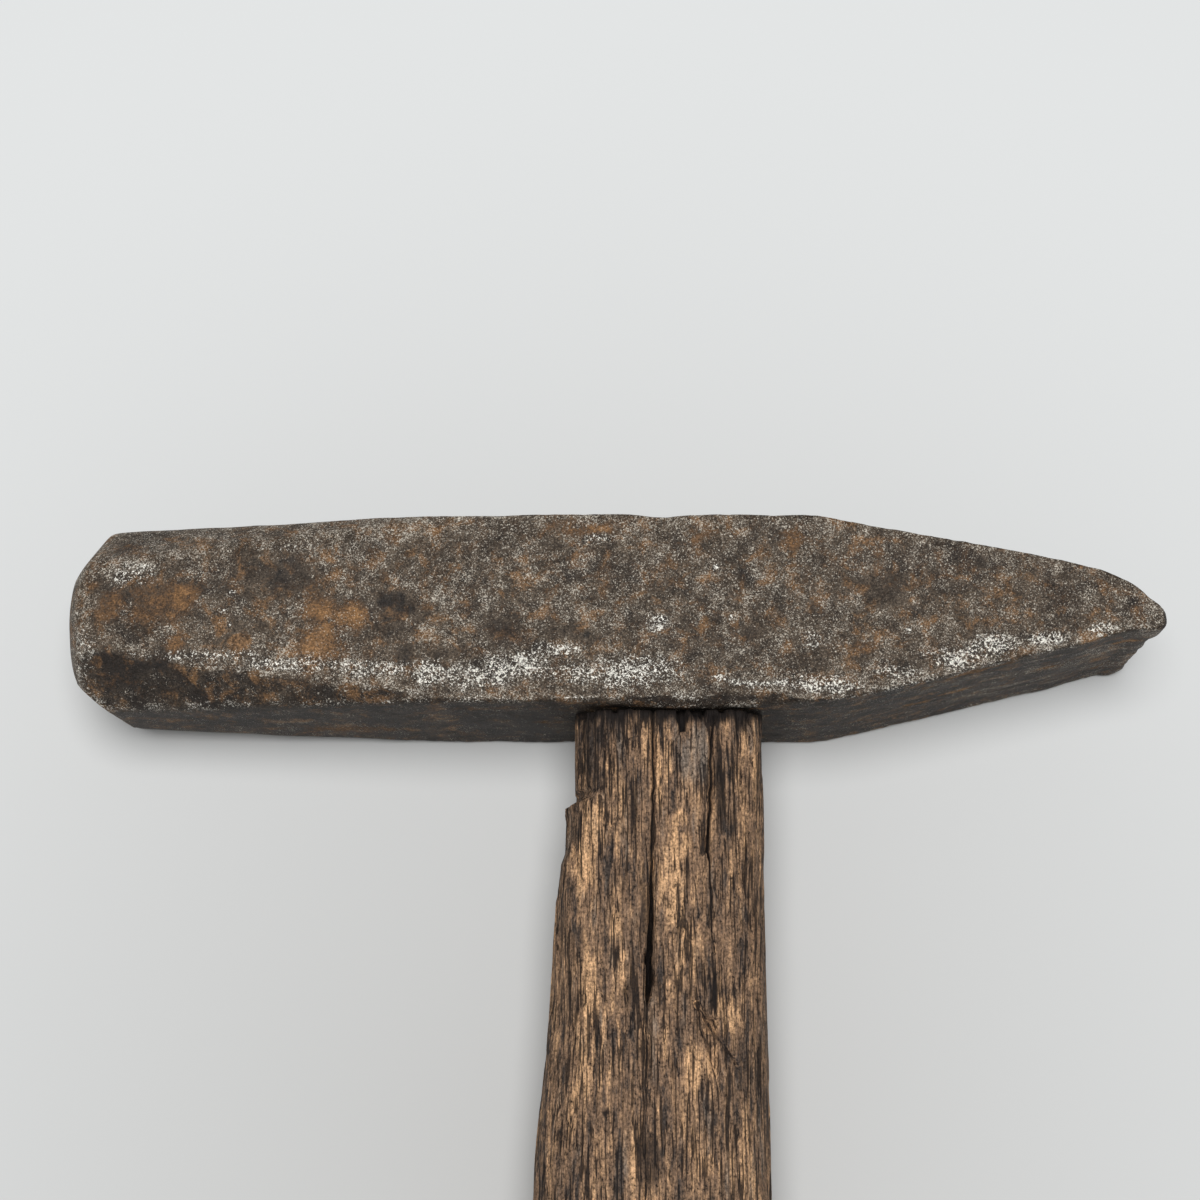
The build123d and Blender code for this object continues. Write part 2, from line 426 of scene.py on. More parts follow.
def iron_material(settings, name):
    """Forged iron: dark scale and brown skin, pale flecks, rust, and bright iron on the edges.

    The mesh's painted values are rust, bare iron with painted glints, blue scale and how rubbed the surface is.
    """
    shader = Shader(name)
    place = shader.place()
    rust, bare_and_glint, blue, rubbed = shader.channels("wear_and_painted_light")
    broad = shader.noise(place, 6.0, detail=5.0, roughness=0.65)
    warm = shader.noise(place, 2.2, detail=5.0, roughness=0.65, distortion=0.5)
    mottle = shader.noise(place, 1.3, detail=5.0, roughness=0.7)
    zone = shader.noise(place, 2.1, detail=6.0, roughness=0.72, distortion=0.3)
    grit = shader.noise(place, 0.30, detail=3.0, roughness=0.75)
    fine = shader.noise(place, 0.19, detail=2.0, roughness=0.6)
    line = shader.noise(place, 0.42, detail=2.0, roughness=0.6, distortion=1.6)
    curl = shader.ramp(abs(line - 0.5), 0.11, 0.0)
    glint = shader.noise(place, 0.30, detail=2.0, roughness=0.6, distortion=0.8)
    grain, other, _ = shader.cell_values(place, 0.17)

    # Brown skin over dark scale, with near-black grains in its pits
    tone = broad * 0.60 + mottle * 0.60 + grit * 0.40 + rubbed * 0.26
    base = shader.mix(shader.ramp(tone, 0.74, 1.18), settings.scale, settings.skin)
    brown = shader.ramp(warm * 1.0 + grit * 0.4 + rubbed * 0.08, 0.72, 0.92)
    base = shader.mix(brown * 0.60, base, settings.old_rust)
    orange = shader.ramp(warm * 1.1 + broad * 0.5 + grit * 0.3, 0.97, 1.20)
    base = shader.mix(orange * 0.60, base, settings.rust)
    black = shader.ramp(blue * 0.35 + mottle * 0.9 + grit * 0.4, 0.78, 1.02)
    base = shader.mix(black * shader.ramp(blue, 0.05, 0.5) * 0.9, base, settings.blue)
    sunk = shader.ramp(other * 0.25 + grit * 0.9 - zone * 0.7, 0.20, 0.38)
    base = shader.mix(sunk * 0.75, base, settings.pit)

    # Rust breaks through in grains and is brightest in its middle
    rusty = shader.ramp(rust * 0.66 + warm * 1.0 + grit * 1.0 + mottle * 0.9, 1.50, 2.06)
    fresh = shader.ramp(warm * 1.0 + grit * 0.9 + rust * 0.80 + mottle * 0.3, 1.56, 2.14)
    base = shader.mix(rusty * 0.85, base, shader.mix(fresh, settings.old_rust, settings.rust))
    base = shader.shade(base, fine * 2.6 + grit * 1.0 - 0.80)

    # Pale grains where the skin is rubbed thin, and bright iron along the edges: both partly painted glints, light off
    # tiny facets and worn edges painted as near-white colour
    speck = curl * 0.40 + fine * 1.0 + grain * 0.16 + zone * 0.76
    lift = speck + rubbed * 0.20 + bare_and_glint * 0.12 - blue * 0.25 - rusty * 0.08
    fleck_and_glint = shader.ramp(lift, 1.49, 1.60)
    base = shader.mix(fleck_and_glint * 0.95, base, settings.fleck_and_glint)
    gaps = shader.ramp(glint, 0.52, 0.38) * shader.ramp(bare_and_glint, 0.1, 0.5)
    base = shader.mix(gaps * 0.75, base, settings.scale)
    # Painted glints: near-white iron in noisy spots wherever bare iron is painted
    shine = glint * 1.5 + fine * 0.6 + curl * 0.14 + zone * 0.60 + bare_and_glint * 0.36
    gleam = shader.ramp(shine, 1.71, 1.80) * shader.ramp(bare_and_glint, 0.05, 0.4)
    base = shader.mix(gleam, base, settings.bare_and_glint)

    height = mottle * 0.16 + grit * 0.10 + zone * 0.20 + fleck_and_glint * 0.02 - sunk * 0.03
    shader.set(
        Base_Color=base,
        Metallic=gleam * 0.4,
        Roughness=0.62 - gleam * 0.2 + rusty * 0.25,
        Specular_IOR_Level=0.22,
        Normal=shader.bump(height),
    )
    return shader.material


def wood_material(settings, name):
    """Old bare wood with its grain along Y: dirty, with dark pores and rubbed fibres.

    The mesh's painted values are stains and painted shade, rubbed fibres, grey fibres and cut ends, and then the
    distances from the middles of two splits, with their widths.
    """
    shader = Shader(name)
    dark, rubbed, bleached, ends = shader.channels("wear_and_painted_light")
    grown = shader.noise(shader.place((1.0, 7.0, 1.0)), 1.7, detail=6.0, roughness=0.7, distortion=0.2)
    stains = shader.noise(shader.place((1.0, 7.0, 1.0)), 1.5, detail=6.0, roughness=0.74, distortion=0.2)
    flakes = shader.noise(shader.place((1.0, 2.4, 1.0)), 0.55, detail=3.0, roughness=0.7, distortion=0.5)
    streaks = shader.noise(shader.place((1.0, 11.0, 1.0)), 0.60, detail=2.0, roughness=0.6)
    fibres = shader.noise(shader.place((1.0, 9.0, 1.0)), 0.20, detail=3.0, roughness=0.7)
    bands = shader.noise(shader.place((1.0, 7.0, 1.0)), 1.5, detail=3.0, roughness=0.6)
    lines = shader.noise(shader.place((1.0, 26.0, 1.0)), 0.26, detail=2.0, roughness=0.5, distortion=0.3)
    dirt = shader.noise(shader.place((1.0, 1.5, 1.0)), 0.6, detail=5.0, roughness=0.75)
    grit = shader.noise(shader.place((1.0, 1.3, 1.0)), 0.26, detail=2.0, roughness=0.7)

    # Brown wood, lighter where its fibres are rubbed, under ragged dark stains
    light = shader.ramp(rubbed * 0.7 + streaks * 0.7 + grown * 0.6, 0.80, 1.4)
    tone = grown * 1.1 + streaks * 0.6 + flakes * 0.5 + fibres * 0.2 + light * 0.32
    wood = shader.mix(shader.ramp(tone, 0.98, 1.22), settings.dark, settings.brown)
    wood = shader.mix(shader.ramp(tone, 1.18, 1.54), wood, settings.tan)
    cool = shader.noise(shader.place((1.0, 6.0, 1.0)), 1.4, detail=4.0, roughness=0.6)
    greyed = shader.ramp(bleached * 0.26 + streaks * 0.4 + cool + flakes * 0.3, 0.90, 1.14)
    wood = shader.mix(greyed * 0.7, wood, settings.grey)
    stained = shader.ramp(stains + dark * 0.26 + streaks * 0.3 + flakes * 0.3 - light * 0.10, 0.98, 1.10)
    wood = shader.mix(stained * 0.56, wood, settings.dark)

    # Fine fibres and dirt, and open pores in bands along the grain
    wood = shader.shade(wood, fibres * 2.7 + grit * 4.4 + flakes * 0.9 - 2.80)
    pores = shader.ramp(lines + bands * 0.50 + grit * 0.12 + dark * 0.06 - light * 0.03, 0.87, 0.92)
    grime = shader.ramp(dirt + grit * 0.3 + dark * 0.2 - light * 0.08, 0.72, 0.88)
    wood = shader.mix(grime * 0.5, wood, settings.dark)
    wood = shader.mix(pores * 0.85, wood, settings.pore)
    # Painted shade: where the painted dark is strongest, under the head's lip, in the broken fibres' gaps and on the
    # shoulder, and in the darkest stains, the wood goes nearly black
    wood = shader.mix(shader.ramp(dark + fibres * 0.3, 0.80, 1.1), wood, settings.pore)
    # The splits are painted near-black, partly dirt and partly painted shade inside them
    for away, width in shader.pairs("splits"):
        ragged = abs(away - 0.5) * 4 + (fibres - 0.5) * 0.25
        crack = shader.ramp(ragged - width, 0.10, -0.02) * shader.ramp(width, 0.01, 0.04)
        wood = shader.mix(crack * 0.95, wood, settings.pore)
    cut_across = shader.shade(settings.end_grain, dirt * 2.2 + grit * 2.6 - 1.4)
    wood = shader.mix(ends * 0.85, wood, cut_across)

    height = grown * 0.25 + streaks * 0.20 + fibres * 0.12 - pores * 0.12 + grit * 0.05
    shader.set(
        Base_Color=wood,
        Roughness=0.75,
        Specular_IOR_Level=0.22,
        Normal=shader.bump(height * (1 - ends * 0.8)),
    )
    return shader.material


# Head


# Places on the upper cheek: x, y, half sizes along x and y, strength
RUST = [
    (-60.3, 0.4, 6.4, 2.5, 0.65),
    (-62.8, 0.3, 1.6, 1.6, 0.9),
    (-57.0, -0.7, 0.8, 0.7, 0.8),
    (-55.9, 2.0, 1.5, 0.8, 0.75),
    (-56.6, -4.4, 1.3, 1.1, 0.8),
    (-40.6, -0.4, 2.6, 2.8, 0.9),
    (-40.0, -4.2, 2.4, 3.6, 1.0),
    (-37.0, -1.5, 2.2, 1.7, 0.9),
    (-10.2, 9.4, 4.2, 1.1, 0.7),
    (-8.4, 9.4, 1.8, 0.8, 1.0),
    (-32.0, 7.9, 1.1, 0.8, 0.6),
    (-27.8, 0.0, 1.3, 0.7, 0.8),
    (-18.2, 1.3, 0.6, 0.6, 0.7),
    (-14.4, 1.8, 0.5, 0.5, 0.7),
    (-13.1, -7.3, 1.1, 1.6, 0.7),
    (14.2, 8.0, 2.1, 1.3, 0.7),
    (4.0, 8.6, 2.4, 1.0, 0.4),
    (23.9, 6.4, 1.0, 0.5, 0.7),
    (21.9, -4.6, 1.2, 0.7, 0.6),
    (3.5, 6.2, 0.6, 0.5, 0.6),
    (-0.8, 4.8, 0.6, 0.6, 0.6),
]
# Places on the side over the handle: x, z, half sizes along x and z, strength
SIDE_RUST = [
    (36.0, 20.8, 3.4, 0.9, 1.0),
    (33.5, 12.5, 2.2, 0.6, 1.0),
    (29.5, 10.9, 1.8, 0.6, 0.9),
    (53.2, 17.0, 1.8, 0.6, 1.2),
    (44.0, 14.0, 2.4, 0.5, 0.8),
    (-38.0, 8.0, 6.0, 1.0, 0.7),
    (-14.0, 12.0, 3.0, 0.8, 0.5),
]
# On the upper cheek again
BLUE_SCALE = [
    (-61.5, 1.4, 6.0, 2.2, 0.5),
    (-46.5, 4.5, 4.0, 2.6, 0.5),
    (-50.5, -3.5, 3.0, 2.2, 0.4),
    (-31.0, -0.4, 2.3, 3.4, 0.9),
    (-30.0, -5.8, 1.6, 1.4, 0.7),
    (-25.6, -5.4, 2.0, 1.0, 0.65),
    (-19.2, -3.4, 1.8, 1.9, 0.6),
    (-12.4, -2.9, 2.3, 1.2, 0.6),
    (-44.6, 3.2, 3.0, 3.0, 0.7),
    (-60.0, -6.5, 7.0, 1.5, 0.6),
    (8.0, -3.0, 1.6, 1.2, 0.5),
    (24.0, 2.5, 3.0, 2.0, 0.45),
]
# Bare iron on the upper cheek, partly painted glints: x, y, half sizes along x and y, strength
BARE_AND_GLINTS = [
    (-27.5, -7.8, 2.4, 1.8, 0.75),
    (-33.5, -7.4, 5.0, 1.1, 0.6),
    (-22.5, -8.2, 6.0, 1.6, 0.6),
    (-17.7, -7.2, 4.5, 1.7, 0.8),
    (-13.2, -5.2, 2.6, 0.9, 0.7),
    (-11.0, -8.0, 6.0, 1.3, 0.6),
    (-4.2, -7.6, 5.0, 2.0, 0.8),
    (17.4, -9.3, 4.4, 1.1, 0.75),
    (25.0, -7.8, 3.2, 0.8, 0.55),
    (31.7, -6.5, 2.1, 0.9, 0.85),
    (37.0, -4.6, 3.3, 1.4, 0.95),
    (43.0, -3.8, 2.4, 0.8, 0.85),
    (34.0, -5.6, 6.0, 0.8, 0.6),
    (49.2, -2.6, 2.0, 0.6, 0.6),
    (-1.5, -1.9, 1.4, 1.1, 0.7),
    (16.1, -4.0, 1.0, 0.9, 0.55),
    (-8.5, 8.1, 2.0, 0.6, 0.6),
    (-52.0, -5.8, 8.0, 0.8, 0.5),
    (-42.0, -6.9, 6.0, 0.9, 0.6),
    (-62.0, 4.0, 3.0, 1.6, 0.5),
    (-46.0, 7.2, 8.0, 0.7, 0.3),
]
# A painted highlight along the crease at the top of the lip: points x, y
BRIGHT_CREASE = [(4.8, -8.3), (7.2, -8.9), (9.8, -9.3), (13.2, -8.9)]
# Single painted glints on the upper cheek: x, y
SPARKS = [(-50.3, 1.6), (-50.5, -2.2), (-51.2, -0.5), (5.2, 4.7), (6.9, -1.1), (27.0, -2.9)]


def head_body(settings):
    """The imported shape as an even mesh, fine enough to be worked over."""
    head = merged_copy("head", "forged_head")
    apply_modifier(head, "REMESH", mode="VOXEL", voxel_size=settings.grain)
    apply_modifier(head, "SMOOTH", factor=0.5, iterations=2)
    return head


def flatten(points, normal, through):
    """Presses the points that stand beyond a plane back onto it."""
    normal = np.array(normal) / np.linalg.norm(normal)
    beyond = np.clip((points - through) @ normal, 0, None)
    points -= beyond[:, None] * normal
    return ramp(beyond, 0.0, 0.15)


def wear_round(points, radius):
    """Rounds the upper edge over the handle to a radius, which may differ for each point."""
    out = -points[:, 1] - (HEAD_SIDE - radius)
    up = points[:, 2] - (TOP - radius)
    reach = np.hypot(out, up)
    over = (out > 0) & (up > 0) & (reach > radius)
    share = np.where(over, radius / np.maximum(reach, 0.01), 1.0)
    points[:, 1] = np.where(over, -(HEAD_SIDE - radius) - out * share, points[:, 1])
    points[:, 2] = np.where(over, TOP - radius + up * share, points[:, 2])


def work_over_head(head, settings):
    """Hollows from the hammer, rust pits, the drawn lip over the handle and the notched peen."""
    points = points_of(head.data)
    normals = normals_of(head.data)
    x, y, z = points.T
    on_cheek = ramp(np.abs(normals[:, 2]), 0.6, 0.95)
    upper = ramp(z, AXIS, TOP - 3.0)
    in_eye = (np.abs(x) < 10.6) & (np.abs(z - AXIS) < 7.0) & (np.abs(y) < HEAD_SIDE - 0.3)
    hollow = rough(points, (13.0, 9.0, 9.0), seed=1, layers=2)
    pits = ramp(rough(points, 3.2, seed=3), 0.56, 0.3) + 0.7 * ramp(lumps(points, 1.1, seed=9), 0.45, 0.1)
    waves = rough(points, 4.0, seed=31, layers=2)
    depth = hollow * settings.hollows / MM + (pits * (0.35 + 0.65 * on_cheek) + waves * 0.7) * settings.pits / MM
    # The sides keep their place on average, and both cheeks stay within the thickness
    depth -= (1 - on_cheek) * (0.32 + 0.26 * ramp(x, -22.0, -36.0))
    # The hollow beaten into the poll, and the dent in the far edge
    depth += 0.5 * ramp(np.hypot((x + 60.5) / 6.5, (y - 0.8) / 3.6), 1.2, 0.2) * upper
    depth += 0.25 * ramp(np.abs(x + 1.2) / 4.5, 1.0, 0.0) * ramp(y, 8.5, HEAD_SIDE)
    for spot_x, spot_y, half_x, half_y, strength in BLUE_SCALE:
        depth += 0.16 * strength * ramp(np.hypot((x - spot_x) / half_x, (y - spot_y) / half_y), 1.3, 0.4) * upper
    depth[in_eye] = 0.0
    points -= normals * depth[:, None]

    # The edge over the handle, worn round and drawn out into a lip
    radius = 0.9 + 0.9 * ramp(np.abs(x + 5.0), 8.0, 3.0) + 1.7 * ramp(np.abs(x - 8.5), 7.0, 2.5)
    outside = ~in_eye
    edge = points[outside]
    wear_round(edge, radius[outside])
    points[outside] = edge
    lip = ramp(np.abs(x - 2.5), 13.0, 6.0) * ramp(np.abs(z - 20.6), 1.6, 0.3) * ramp(y, -8.0, -HEAD_SIDE + 0.8)
    points[:, 1] -= lip * 0.45 * rough(points, (3.4, 3.0, 3.0), seed=41, layers=2) * outside

    # The poll's lower corner was struck off in two facets
    struck = flatten(points, (-0.66, -0.745, -0.10), (-64.2, -10.6, 6.6))
    flatten(points, (-0.90, -0.42, -0.10), (-68.4, -7.4, 9.0))
    flatten(points, (-0.80, 0.52, 0.30), (-67.0, 9.0, 16.3))
    move_points(head.data, points)
    # Wear has rounded all edges of the poll
    poll = (ramp(x, -28.0, -44.0) * (0.9 - 0.5 * ramp(struck, 0.0, 0.5)))[:, None]
    points += (smoothed(head.data, 14) - points) * poll

    # The peen leans a little to the far side
    points[:, 1] += 0.3 * ramp(x, 12.0, 18.0) * ramp(x, 44.0, 28.0) * ramp(y, 0.0, 5.0)
    points[:, 1] += 0.38 * ramp(x, 24.0, 44.0) + 0.42 * ramp(x, 46.0, 50.5) * ramp(x, 55.5, 53.0)

    # Below its upper corner the peen's edge is chipped back, with layers standing out
    chips = ramp(x, 50.0, 56.0) * ramp(z, 17.8, 16.8)
    points[:, 0] -= chips * (0.35 + 0.7 * rough(points, (3.0, 3.0, 1.6), seed=51, layers=2))
    np.clip(points[:, 2], 0.0, TOP, out=points[:, 2])
    np.clip(points[:, 0], FACE_END, PEEN_END, out=points[:, 0])
    move_points(head.data, points)
    return struck


def paint_head(head, struck):
    points = points_of(head.data)
    normals = normals_of(head.data)
    x, y, z = points.T
    broken = rough(points, 1.6, seed=61, layers=3)
    ragged = (broken - 0.5) * 0.35
    # The flats on the far side are as worn as the cheeks, and those over the handle's side are dark
    cheek = ramp(np.abs(normals[:, 2]) + ragged * ramp(x, -10.0, -30.0), 0.74, 0.90)
    cheek = np.maximum(cheek, ramp(normals[:, 1] * 0.5 + np.abs(normals[:, 2]) + ragged, 0.75, 1.0))
    cheek = np.maximum(cheek, ramp(-normals[:, 0] + ragged, 0.35, 0.7) * 0.9)
    upper = ramp(z, AXIS, TOP - 4.0)
    raised = relief(head.data, 14)
    edges = ramp(raised, 0.05, 0.22 - 0.1 * ramp(x, -28.0, -44.0)) * ramp(broken, 0.3, 0.6)
    rust = patches(points, RUST) * upper
    rust = np.maximum(rust, (1 - cheek) * ramp(rough(points, (9.0, 3.0, 3.0), seed=21), 0.62, 0.85) * 0.35)
    rust = np.maximum(rust, struck * 0.7)
    near_side = ramp(-normals[:, 1], 0.75, 0.95)
    side_rust = patches(points[:, [0, 2, 1]], SIDE_RUST) * near_side
    rust = np.maximum(rust, side_rust)
    # Bare iron on the cheek and along the edges, partly painted glints
    bare_and_glint = patches(points, BARE_AND_GLINTS, 0.3) * upper * cheek
    bare_and_glint = np.maximum(bare_and_glint, edges * (0.15 + 0.25 * upper * ramp(y, 4.0, -4.0)))
    blue = patches(points, BLUE_SCALE, 0.8) * upper
    rubbed = cheek * (0.75 + np.clip(raised * 2.5, -0.75, 0.6)) + edges * 0.3 + (1 - cheek) * 0.16
    # The peen was drawn out in layers, which show along its side
    layers = rough(points, (7.0, 3.0, 0.9), seed=63, layers=3)
    rubbed += near_side * ramp(x, 22.0, 40.0) * (0.2 + (layers - 0.5) * 2.4)
    rubbed += side_rust * 0.45 - (ramp(x, -42.0, -54.0) + ramp(x, 10.0, 26.0) * 0.8) * cheek * 0.10
    # Single painted glints
    for spark_x, spark_y in SPARKS:
        bare_and_glint = np.maximum(bare_and_glint, ramp(np.hypot(x - spark_x, y - spark_y), 0.45, 0.2) * upper)
    bare_and_glint *= 1 - 0.8 * ramp(np.hypot((x - 6.8) / 4.6, (y + 7.6) / 2.6), 1.2, 0.7) * upper
    # A painted highlight along the lip's crease
    for start, end in itertools.pairwise(BRIGHT_CREASE):
        bare_and_glint = np.maximum(bare_and_glint, ramp(near_line(points, start, end)[0], 0.45, 0.1) * upper * 0.9)
    paint(head.data, "wear_and_painted_light", rust, bare_and_glint, blue, rubbed)


class HAMMER_OT_head(bpy.types.Operator):
    """Builds the forged head with its worn, pitted and rusty surface"""

    bl_idname = "hammer.head"
    bl_label = "Head"

    def execute(self, context):
        settings = context.scene.hammer_head
        head = head_body(settings)
        paint_head(head, work_over_head(head, settings))
        finish_piece(head, iron_material(settings, "forged_iron"), "forged_iron", "head")
        return {"FINISHED"}


# Handle


ROUND = 288  # vertices round the handle
RING_CUTS = (15, 19)  # two rounds of subdividing, for 16 times 20 stretches between rings
RINGS_BY_HEAD = 150
TENON_RINGS = 21
DAMAGED_LENGTH = 56.0
BUTT_LENGTH = 7.0  # where the butt is rounded
BUTT_RINGS = 14
CAP_INSETS = (0.12, 0.22, 0.22, 0.22)  # of the handle's radius
SECTION_CORNER = 0.84  # of half the thickness
NECK_CORNER = 0.5
DOWN_TO = 5.0  # depth of the splits
IRON_WEDGES = ("iron_wedge_face", "iron_wedge_peen")
GAP = 0.08  # between the wedges and the wood round them
# Thickness of the wedges at the end of the tenon and at their toes
WOOD_WEDGE_TOP, WOOD_WEDGE_TOE = 2.6, 0.9
IRON_WEDGE_TOP, IRON_WEDGE_TOE = 2.2, 0.7

# Splits in the top of the handle: distance from the head, x, width of the gap
LONG_SPLIT = [
    (0.0, -2.1, 0.16),
    (9.0, -2.1, 0.17),
    (16.0, -2.3, 0.20),
    (20.0, -2.4, 0.28),
    (24.0, -2.5, 0.44),
    (28.0, -2.7, 0.72),
    (31.0, -2.8, 0.72),
    (32.8, -2.9, 0.40),
    (33.6, -3.0, 0.08),
    (56.0, -3.3, 0.06),
]
SHORT_SPLIT = [
    (1.0, 4.8, 0.14),
    (3.0, 4.6, 0.18),
    (12.0, 4.2, 0.22),
    (16.5, 3.9, 0.32),
    (17.5, 4.1, 0.16),
    (21.0, 4.2, 0.12),
    (25.0, 4.1, 0.09),
    (28.0, 4.5, 0.06),
]
# Fibres broken off at the head: x, half width, how far back
BROKEN_FIBRES = [
    (-10.4, 0.5, 0.6),
    (-6.4, 0.3, 0.3),
    (1.05, 0.38, 2.7),
    (2.75, 0.5, 0.8),
    (3.5, 0.25, 0.5),
    (5.6, 0.3, 0.4),
    (9.1, 0.14, 2.0),
    (9.9, 0.3, 0.5),
]
# Places on the top: x, y, half sizes along x and y, strength
STAINS = [
    (-6.5, -13.0, 5.5, 2.6, 0.75),
    (-7.5, -18.0, 3.6, 5.5, 0.45),
    (-3.2, -35.0, 0.7, 9.0, 0.8),
    (-4.9, -43.3, 1.3, 2.5, 0.8),
    (-2.8, -62.0, 1.6, 3.8, 0.8),
    (0.1, -54.8, 1.6, 1.8, 0.7),
    (5.3, -22.0, 0.9, 8.0, 0.85),
    (4.5, -43.3, 0.5, 3.6, 0.9),
    (2.9, -40.5, 1.0, 3.2, 0.7),
    (-7.6, -56.5, 0.7, 0.7, 0.9),
    (9.2, -22.0, 1.3, 9.0, 0.45),
    (6.8, -33.0, 0.8, 8.0, 0.5),
    (-6.6, -37.0, 2.0, 4.0, 0.5),
    (-12.0, -23.4, 0.8, 1.0, 0.7),
]
RUBBED = [
    (-0.6, -16.6, 0.8, 4.6, 1.0),
    (-1.5, -19.0, 0.4, 6.0, 0.7),
    (0.9, -24.3, 1.1, 1.4, 1.0),
    (0.7, -27.2, 1.5, 2.0, 0.95),
    (-0.4, -33.0, 1.5, 6.5, 0.8),
    (1.7, -36.0, 1.6, 7.0, 0.6),
    (-10.2, -29.0, 1.6, 3.8, 1.0),
    (-9.0, -25.5, 2.0, 4.0, 0.75),
    (-7.4, -18.2, 0.25, 0.4, 1.0),
    (-5.5, -39.6, 0.5, 0.6, 1.0),
    (-2.9, -44.0, 0.3, 0.6, 1.0),
    (-2.3, -29.2, 0.3, 1.7, 0.9),
    (2.2, -51.5, 2.2, 4.0, 0.85),
    (5.6, -46.0, 1.3, 2.6, 0.8),
    (-9.5, -47.0, 2.2, 8.0, 0.6),
    (7.6, -30.0, 1.0, 6.0, 0.5),
    (8.0, -60.0, 1.5, 7.0, 0.5),
]
BLEACHED = [
    (2.5, -17.0, 1.7, 4.4, 0.9),
    (-5.5, -16.0, 2.0, 3.0, 0.35),
    (3.3, -14.0, 0.8, 1.8, 0.6),
]
# Wear of the side towards the face: distance from the head's axis, depth
WORN_SIDE = [
    (20.3, 0.0),
    (20.7, 0.8),
    (21.7, 1.0),
    (21.95, 0.15),
    (23.5, 0.45),
    (27.4, 0.45),
    (28.6, 0.0),
    (31.4, -0.23),
    (32.7, -0.42),
    (36.0, -0.35),
    (43.3, -0.1),
    (46.0, 0.0),
]
GOUGE = ((2.4, -44.8), (7.0, -51.5))  # a dark cut across the grain
TORN = ((2.4, -46.0), (4.9, -46.5), (4.8, -54.0))  # the torn patch beside it
KNOT = (-5.2, -46.5, 1.05)


def ring_places():
    """Where each ring of the handle lies along Y, from the butt to the tenon's end."""
    count = (RING_CUTS[0] + 1) * (RING_CUTS[1] + 1) + 1
    beyond = count - RINGS_BY_HEAD - TENON_RINGS
    damaged_end = -NECK_START - DAMAGED_LENGTH
    marks = (0, BUTT_RINGS, beyond, beyond + RINGS_BY_HEAD - 1, beyond + RINGS_BY_HEAD, count - 1)
    places = (BUTT_END, BUTT_END + BUTT_LENGTH, damaged_end, -NECK_START, -NECK_START, TENON_END)
    return np.interp(np.arange(count), marks, places)


def packed_sections(node, places):
    """Lowest x and z, then highest x and z, of a CAD node where each of the places slices it across Y."""
    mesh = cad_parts[node].data
    points = points_of(mesh)
    ends = np.array([edge.vertices[:] for edge in mesh.edges])
    first, second = points[ends[:, 0]], points[ends[:, 1]]
    found = []
    for place in places:
        crossing = (first[:, 1] - place) * (second[:, 1] - place) <= 0
        start, run = first[crossing], (second - first)[crossing]
        share = (place - start[:, 1]) / np.where(np.abs(run[:, 1]) < 1e-6, 1.0, run[:, 1])
        across = start + run * np.clip(share, 0, 1)[:, None]
        found.append((*across[:, [0, 2]].min(axis=0), *across[:, [0, 2]].max(axis=0)))
    return np.array(found)


def handle_tube():
    """A closed cylinder of unit size along Y, with a ring for each place and finely inset ends."""
    object_mode()
    bpy.ops.mesh.primitive_cylinder_add(vertices=ROUND, radius=1.0, depth=1.0, end_fill_type="NGON")
    tube = bpy.context.object
    tube.name = "weathered_handle"
    bpy.ops.object.mode_set(mode="EDIT")
    bpy.ops.mesh.select_all(action="SELECT")
    bpy.ops.transform.rotate(value=math.pi / 2, orient_axis="X", center_override=(0, 0, 0))
    bpy.context.tool_settings.mesh_select_mode = (False, False, True)
    cage = bmesh.from_edit_mesh(tube.data)
    for inset in CAP_INSETS:
        for side in (-1, 1):
            bpy.ops.mesh.select_all(action="DESELECT")
            for face in cage.faces:
                face.select = len(face.verts) == ROUND and face.normal.y * side > 0.5
            bpy.ops.mesh.inset(thickness=inset)
            cage = bmesh.from_edit_mesh(tube.data)
    bpy.ops.mesh.select_all(action="DESELECT")
    for face in cage.faces:
        face.select = len(face.verts) == ROUND
    bpy.ops.mesh.poke()
    bpy.context.tool_settings.mesh_select_mode = (False, True, False)
    for cuts in RING_CUTS:
        bpy.ops.mesh.select_all(action="DESELECT")
        cage = bmesh.from_edit_mesh(tube.data)
        for edge in cage.edges:
            low, high = sorted(vertex.co.y for vertex in edge.verts)
            edge.select = high - low > 0.001
        bpy.ops.mesh.subdivide(number_cuts=cuts)
    object_mode()
    return tube


def rounded_section(turn, half_width, half_thickness, corner):
    """Points and outward directions on a rounded rectangle, where a turn from 0 to 1 goes once round it."""
    quarter = np.abs((turn * 4 + 1) % 2 - 1)
    flat_side = half_thickness - corner
    flat_top = half_width - corner
    run = quarter * (flat_side + flat_top + corner * math.pi / 2)
    bend = np.clip((run - flat_side) / corner, 0, math.pi / 2)
    across = flat_top + corner * np.cos(bend) - np.clip(run - flat_side - corner * math.pi / 2, 0, None)
    up = np.minimum(run, flat_side) + corner * np.sin(bend)
    side = np.where(np.abs(turn - 0.5) < 0.25, -1, 1)
    upper = np.where(turn < 0.5, 1, -1)
    return across * side, up * upper, np.cos(bend) * side, np.sin(bend) * upper


